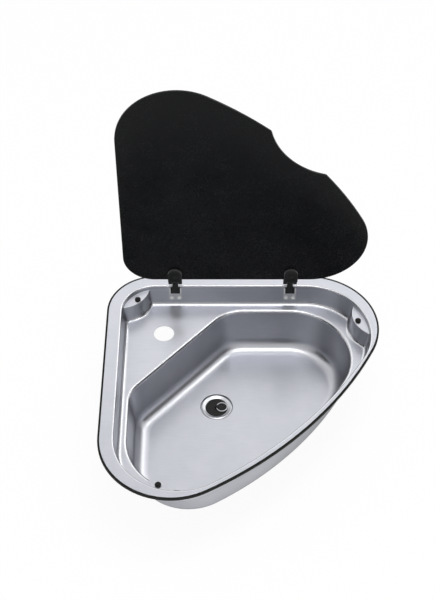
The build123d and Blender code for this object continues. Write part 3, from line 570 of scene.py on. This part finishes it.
def bent(start, corner, end, radius, steps, room=(0.5, 0.5)):
    """Rounds a corner of the profile: a circle's arc as the rational curve of its tangent points and the corner.

    The tangent length is radius tan(half the turn), cut down where a neighbouring run is too short for it and never
    zero, so that the rows stay apart where the profile runs straight on. A guard row before and after the arc keeps
    the flats flat."""
    before, after = corner - start, end - corner
    len_before = np.linalg.norm(before, axis=-1, keepdims=True)
    len_after = np.linalg.norm(after, axis=-1, keepdims=True)
    before, after = before / len_before, after / len_after
    half = np.arccos(np.clip(np.sum(before * after, axis=-1, keepdims=True), -1.0, 1.0)) / 2
    tangent = np.maximum(radius * np.tan(half), least_tangent)
    free_before, free_after = room[0] * len_before, room[1] * len_after
    tangent = np.minimum(tangent, tangent_share * np.minimum(free_before, free_after))
    weight = np.cos(half)
    first, last = corner - tangent * before, corner + tangent * after
    rows = [first - np.minimum(guard, 0.5 * (free_before - tangent)) * before]
    for t in np.linspace(0.0, 1.0, steps):
        blend = [(1 - t) ** 2, 2 * weight * t * (1 - t), t**2]
        rows.append((blend[0] * first + blend[1] * corner + blend[2] * last) / sum(blend))
    rows.append(last + np.minimum(guard, 0.5 * (free_after - tangent)) * after)
    return rows


square_corner = bent(np.array([-9.0, 0.0]), np.zeros(2), np.array([0.0, -9.0]), 3.0, 3)
print("a 3 mm corner in", len(square_corner), "rows, midway at", square_corner[2].round(2))

# %% [markdown]
# ## Ledges and recess
# In each corner of the recess a ledge sticks out of the wall, 9 mm below the rim, and carries a rubber bumper for
# the lid. The die that forms it has a round nose, so the ledge's front is an arc of a circle round an axis outside
# the corner. One depth for each point of the ring says how far the ledge stands out there, and the same rows give
# plain wall where it is zero.

# %% Depth of the ledges all round
around = 512
ledge_level, ledge_radius = -4.2, 56.0
ledge_axes = ((-113.2, -308.9), (308.6, 121.6), (-182.7, 193.3))
crisp, soft, no_ledge = 0.8, 15.0, -99.0
wall_slope = math.tan(math.radians(wall_draft))
wall_points, wall_normals = even_steps(*outline(recess, recess_bow), around)


def eased(depth, width):
    """Zero below -width, depth itself above +width, and (depth + width)^2 / (4 width) between."""
    return np.where(np.abs(depth) < width, (depth + width) ** 2 / (4 * width), np.maximum(depth, 0.0))


# Along the normal, from the wall at the ledge's height to the circle. Where the wall lies outside that circle the
# depth is negative.
ledge_depth = np.full(around, no_ledge)
for axis_x, axis_y in ledge_axes:
    ray = wall_points - wall_slope * (flange_top - ledge_level) * wall_normals - np.array([axis_x, axis_y])
    out = np.sum(ray * wall_normals, axis=1)
    under = out**2 + ledge_radius**2 - np.sum(ray**2, axis=1)
    depth = np.where((under > 0) & (out < 0), out + np.sqrt(np.maximum(under, 0.0)), no_ledge)
    ledge_depth = np.maximum(ledge_depth, depth)
ledge_width, foot_width = eased(ledge_depth, crisp), eased(ledge_depth, soft)
print("ledge depth up to", ledge_depth.max().round(1), "mm")

# %% Recess: lip, ledge, wall and foot
fold, foot_run = 1.0, 7.0
lip_steps, ledge_back_steps, ledge_front_steps, deck_steps = 7, 4, 5, 9


def spot(out, height):
    """One row of (offset along the normal, height) pairs."""
    return np.stack(np.broadcast_arrays(np.asarray(out, float), np.asarray(height, float), ledge_depth)[:2], -1)


# Where the ledge runs out, its two edges move apart in height by the fold each, so that their rows stay apart
drop = np.maximum(0.0, fold - ledge_width / 2)
upper = ledge_level + drop
lower = ledge_level - drop
lip = spot(0.0, flange_top)
back_line = spot(-wall_slope * (flange_top - upper), upper)
front_line = spot(-wall_slope * (flange_top - lower) - ledge_width, lower)
foot = spot(-wall_slope * (flange_top - deck) - foot_width, deck)
foot_end = foot - np.array([foot_run, 0.0])
profile = [
    *bent(spot(3.6, flange_top), lip, back_line, 3.0, lip_steps, (1.0, 0.5)),
    *bent(lip, back_line, front_line, 1.2, ledge_back_steps),
    *bent(back_line, front_line, foot, 1.5, ledge_front_steps),
    *bent(front_line, foot, foot_end, 7.5, deck_steps, (0.5, 1.0)),
]
recess_rows = [np.column_stack([wall_points + row[:, :1] * wall_normals, row[:, 1]]) for row in profile]
print("rows in the recess:", len(recess_rows))

# %% [markdown]
# ## Flange
# The flange lies flat on the worktop, and its trimmed edge is rounded over by a third of a millimetre. Its outline
# isn't parallel to the recess, so its rows take the directions of the recess's points as seen from the drain and
# look up how far the outline lies there.

# %% Flange: from its own outer line in to the rim
edge_rows = ((0.0, 0.35), (-0.1, 0.1), (-0.35, 0.0), (-1.2, 0.0))
inner = recess_rows[0]
direction = np.arctan2(inner[:, 1], inner[:, 0])


def ring(distance, height, direction):
    """A closed row at a distance from the drain's axis in each direction, at one height or a height for each."""
    distance, height = np.broadcast_to(distance, direction.shape), np.broadcast_to(height, direction.shape)
    return np.column_stack([distance * np.cos(direction), distance * np.sin(direction), height])


flange_rows = [
    ring(reach(flange, flange_bow, grow, direction), flange_top - below, direction) for grow, below in edge_rows
]
flange_rows.append((flange_rows[-1] + inner) / 2)
print("rows in the flange:", len(flange_rows))

# %% [markdown]
# ## Basin and dish
# The basin's edge is as wide as the deck beside it allows, its wall has 8 degrees of draft so that it leaves the
# die, and its foot is the widest bend of all, because steel that is drawn this deep tears in a tight one. A small
# round dish in the floor sinks the drain ring below it.

# %% Basin: rounded edge, drafted wall and wide foot
basin_draft = 8.0
least_edge, widest_edge, deck_share = 3.2, 5.6, 0.95
# At this bend the tangent is 0.87 of the radius, so a radius of width / 0.92 stays inside the edge's width
width_to_radius = 0.92
foot_radius, foot_inward = 26.0, 60.0
edge_steps, foot_steps = 8, 15
basin_slope = math.tan(math.radians(basin_draft))
direction = np.arctan2(recess_rows[-1][:, 1], recess_rows[-1][:, 0])
near = reach(basin, basin_bow, 0.0, direction)
per_mm = reach(basin, basin_bow, 1.0, direction) - near
deck_gap = (np.hypot(*recess_rows[-1][:, :2].T) - near) / per_mm
edge_width = np.clip(deck_share * deck_gap, least_edge, widest_edge)
wall_foot = spot(basin_slope * (basin_floor - deck), basin_floor)
edge_radius = edge_width[:, None] / width_to_radius
edge = bent(spot(edge_width, deck), spot(0.0, deck), wall_foot, edge_radius, edge_steps, (1.0, 0.5))
basin_rows = [ring(near + per_mm * step[:, 0], step[:, 1], direction) for step in edge]
inward = wall_foot[0] - np.array([foot_inward, 0.0])
basin_foot = bent(np.array([0.0, deck]), wall_foot[0], inward, foot_radius, foot_steps)
basin_rows += [ring(reach(basin, basin_bow, out, direction), height, direction) for out, height in basin_foot]
middle = (recess_rows[-1] + basin_rows[0]) / 2
print("deck between recess and basin: at least", deck_gap.min().round(1), "mm")

# %% Dish that takes the drain ring, and all rows together
dish_bend, dish_edge_steps, dish_foot_steps = 1.0, 5, 4
dish_start, dish_edge = np.array([34.0, basin_floor]), np.array([30.0, basin_floor])
dish_foot, drain_hole = np.array([29.8, basin_floor - 4.0]), np.array([23.2, basin_floor - 4.0])
dish = bent(dish_start, dish_edge, dish_foot, dish_bend, dish_edge_steps)
dish += bent(dish_edge, dish_foot, drain_hole, dish_bend, dish_foot_steps)
dish_rows = [ring(out, height, direction) for out, height in dish]
dish_rows.append(ring(drain_hole[0], drain_hole[1], direction))
floor_start = basin_rows[-1]
floor_rows = [floor_start + (dish_rows[0] - floor_start) * part for part in (0.25, 0.5, 0.75)]
upper_side = np.array([*flange_rows, *recess_rows, middle, *basin_rows, *floor_rows, *dish_rows])
print("rows and points per row:", upper_side.shape[:2])

# %% [markdown]
# ## Sheet with two sides
# Solidify could give the sheet its thickness, but it would close the drain and the outer edge in its own way. Here
# the underside is the same rows moved along their normals, and two bands join it to the upper side at the outer edge
# and in the drain. The underside keeps every second row, because half of them are enough to carry its shape.

# %% Both sides of the sheet as one closed mesh
sharp_from = 35.0


def sheet_normals(rows):
    """Upward normals of the rows: the step along a row crossed with the step from row to row."""
    along = np.roll(rows, -1, axis=1) - np.roll(rows, 1, axis=1)
    inward = np.gradient(rows, axis=0)
    normal = np.cross(inward, along)
    normal /= np.linalg.norm(normal, axis=2, keepdims=True)
    return normal * np.sign(normal[:1, :, 2:])


def add_piece(name, points, faces, finish):
    """A mesh object at the origin from points in millimetres and faces as rows of point numbers."""
    mesh = bpy.data.meshes.new(name)
    mesh.from_pydata((np.asarray(points) / 1000).tolist(), [], faces)
    mesh.materials.append(finish)
    mesh.polygons.foreach_set("use_smooth", np.ones(len(mesh.polygons), dtype=bool))
    mesh.update()
    mesh.set_sharp_from_angle(angle=math.radians(sharp_from))
    piece = bpy.data.objects.new(name, mesh)
    bpy.context.collection.objects.link(piece)
    return piece


def band(first, second, count):
    """Four-sided faces between two closed rows whose first points are numbers first and second."""
    step = np.arange(count)
    after = (step + 1) % count
    return np.stack([first + step, first + after, second + after, second + step], 1)


under_side = upper_side - sheet * sheet_normals(upper_side)
kept = np.unique(np.concatenate([np.arange(0, len(under_side), 2), [len(under_side) - 1]]))
under_side = under_side[kept]
points = np.concatenate([upper_side.reshape(-1, 3), under_side.reshape(-1, 3)])
tops, lows = len(upper_side), len(under_side)
base = tops * around
faces = [band(i * around, (i + 1) * around, around) for i in range(tops - 1)]
faces += [band(base + (i + 1) * around, base + i * around, around) for i in range(lows - 1)]
faces.append(band(base, 0, around))
faces.append(band((tops - 1) * around, base + (lows - 1) * around, around))
bowl = add_piece("pressed_bowl", points, np.concatenate(faces).tolist(), bowl_steel)
print("points in the sheet:", len(points))

# %% [markdown]
# ## Burnished bends, and their painted lines
# The steel's recipe asks each point of the bowl how far the die has burnished it. A bend is rubbed most in its
# middle, so the mark is a half wave over the bend's rows, weaker on bends that the die hardly slid over. The same
# mark lowers the roughness, and also paints a highlight on the bends and dark outlines where they turn away.

# %% Half wave over the rows of each bend
bends = [
    (lip_steps, 1.0),
    (ledge_back_steps, 0.2),
    (ledge_front_steps, 0.6),
    (deck_steps, 0.8),
    (edge_steps, 1.0),
    (foot_steps, 0.45),
    (dish_edge_steps, 0.3),
    (dish_foot_steps, 0.3),
]
waves = [full * np.sin(np.pi * np.linspace(0.0, 1.0, steps + 2)) for steps, full in bends]
# No mark on the flange, the row midway over the deck, the floor and the last row in the drain
flat = [np.zeros(len(rows)) for rows in (flange_rows, [middle], floor_rows, dish_rows[-1:])]
burnish_and_line_rows = np.concatenate([flat[0], *waves[:4], flat[1], *waves[4:6], flat[2], *waves[6:], flat[3]])
burnish_and_painted_lines = np.repeat(np.concatenate([burnish_and_line_rows, burnish_and_line_rows[kept]]), around)
bowl.data.attributes.new("burnish_and_painted_lines", "FLOAT", "POINT").data.foreach_set("value", burnish_and_painted_lines.astype(np.float32))
print("rows with a mark:", int(np.count_nonzero(burnish_and_line_rows > 0.01)))

# %% [markdown]
# ## Tap hole
# The hole is punched through the deck after the pressing. Its place has nothing to do with the rows, so this is the
# one cut for which a boolean is the plain way.

# %% Round hole through the deck
hole_sides, cutter_reach = 96, 5.0
turn = np.radians(np.arange(hole_sides) * 360.0 / hole_sides)
circle = np.stack([tap_x + tap_radius * np.cos(turn), tap_y + tap_radius * np.sin(turn)], 1)
levels = (deck - cutter_reach, deck + cutter_reach)
cutter_points = np.concatenate([np.column_stack([circle, np.full(hole_sides, level)]) for level in levels])
ends = [list(range(hole_sides - 1, -1, -1)), list(range(hole_sides, 2 * hole_sides))]
cutter = add_piece("tap_cutter", cutter_points, band(0, hole_sides, hole_sides).tolist() + ends, bowl_steel)
cut = bowl.modifiers.new("tap_hole", "BOOLEAN")
cut.operation = "DIFFERENCE"
cut.solver = "EXACT"
cut.object = cutter
bpy.context.view_layer.update()
evaluated = bowl.evaluated_get(bpy.context.evaluated_depsgraph_get())
finished = bpy.data.meshes.new_from_object(evaluated)
bowl.modifiers.clear()
bowl.data = finished
bpy.data.objects.remove(cutter)
finished.set_sharp_from_angle(angle=math.radians(sharp_from))
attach(bowl, "bowl")
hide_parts("sink_bowl")
print("bowl triangles:", sum(len(face.vertices) - 2 for face in finished.polygons))

# %% [markdown]
# ## Finishes for the other solids
# Every other solid keeps its own mesh and gets only its finish, which the record names for each of them. The hinge
# pins are the one exception: they share a slot with the screws, but carry a film of oil and get the darker steel.

# %% One finish for each slot
finishes = {
    "bowl_steel": bowl_steel,
    "hinge_steel": hinge_steel,
    "fastener_steel": fastener_steel,
    "bright_chrome": chrome,
    "black_rubber": rubber,
    "hinge_plastic": hinge_nylon,
    "plug_plastic": plug_plastic,
    "waste_plastic": waste_plastic,
    "bush_plastic": natural_nylon,
    "insert_brass": brass,
    "black_glass": black_glass,
}
for part in frame["record"]["subparts"]:
    node = nodes[part["node"]]
    for slot in node.material_slots:
        slot.material = finishes[part["material_slot"]]

for pin in ("hinge_pin_left", "hinge_pin_right"):
    nodes[pin].material_slots[0].material = oiled_steel
print("finishes given:", len(finishes) + 1)

# %% [markdown]
# ## What the steel doesn't mirror
# A real bowl mirrors its upright lid, and the deck in front of it turns black. In the picture it stays bright, so
# the lid and the two leaves behind it are hidden from reflections. That changes the scene's light alone: their
# shapes, their shadows and what the camera sees of them stay.

# %% Lid and leaves hidden from reflections
for unseen in ("glass_lid", "hinge_leaf_left", "hinge_leaf_right"):
    nodes[unseen].visible_glossy = False
print("hidden from reflections:", [name for name in nodes if not nodes[name].visible_glossy])
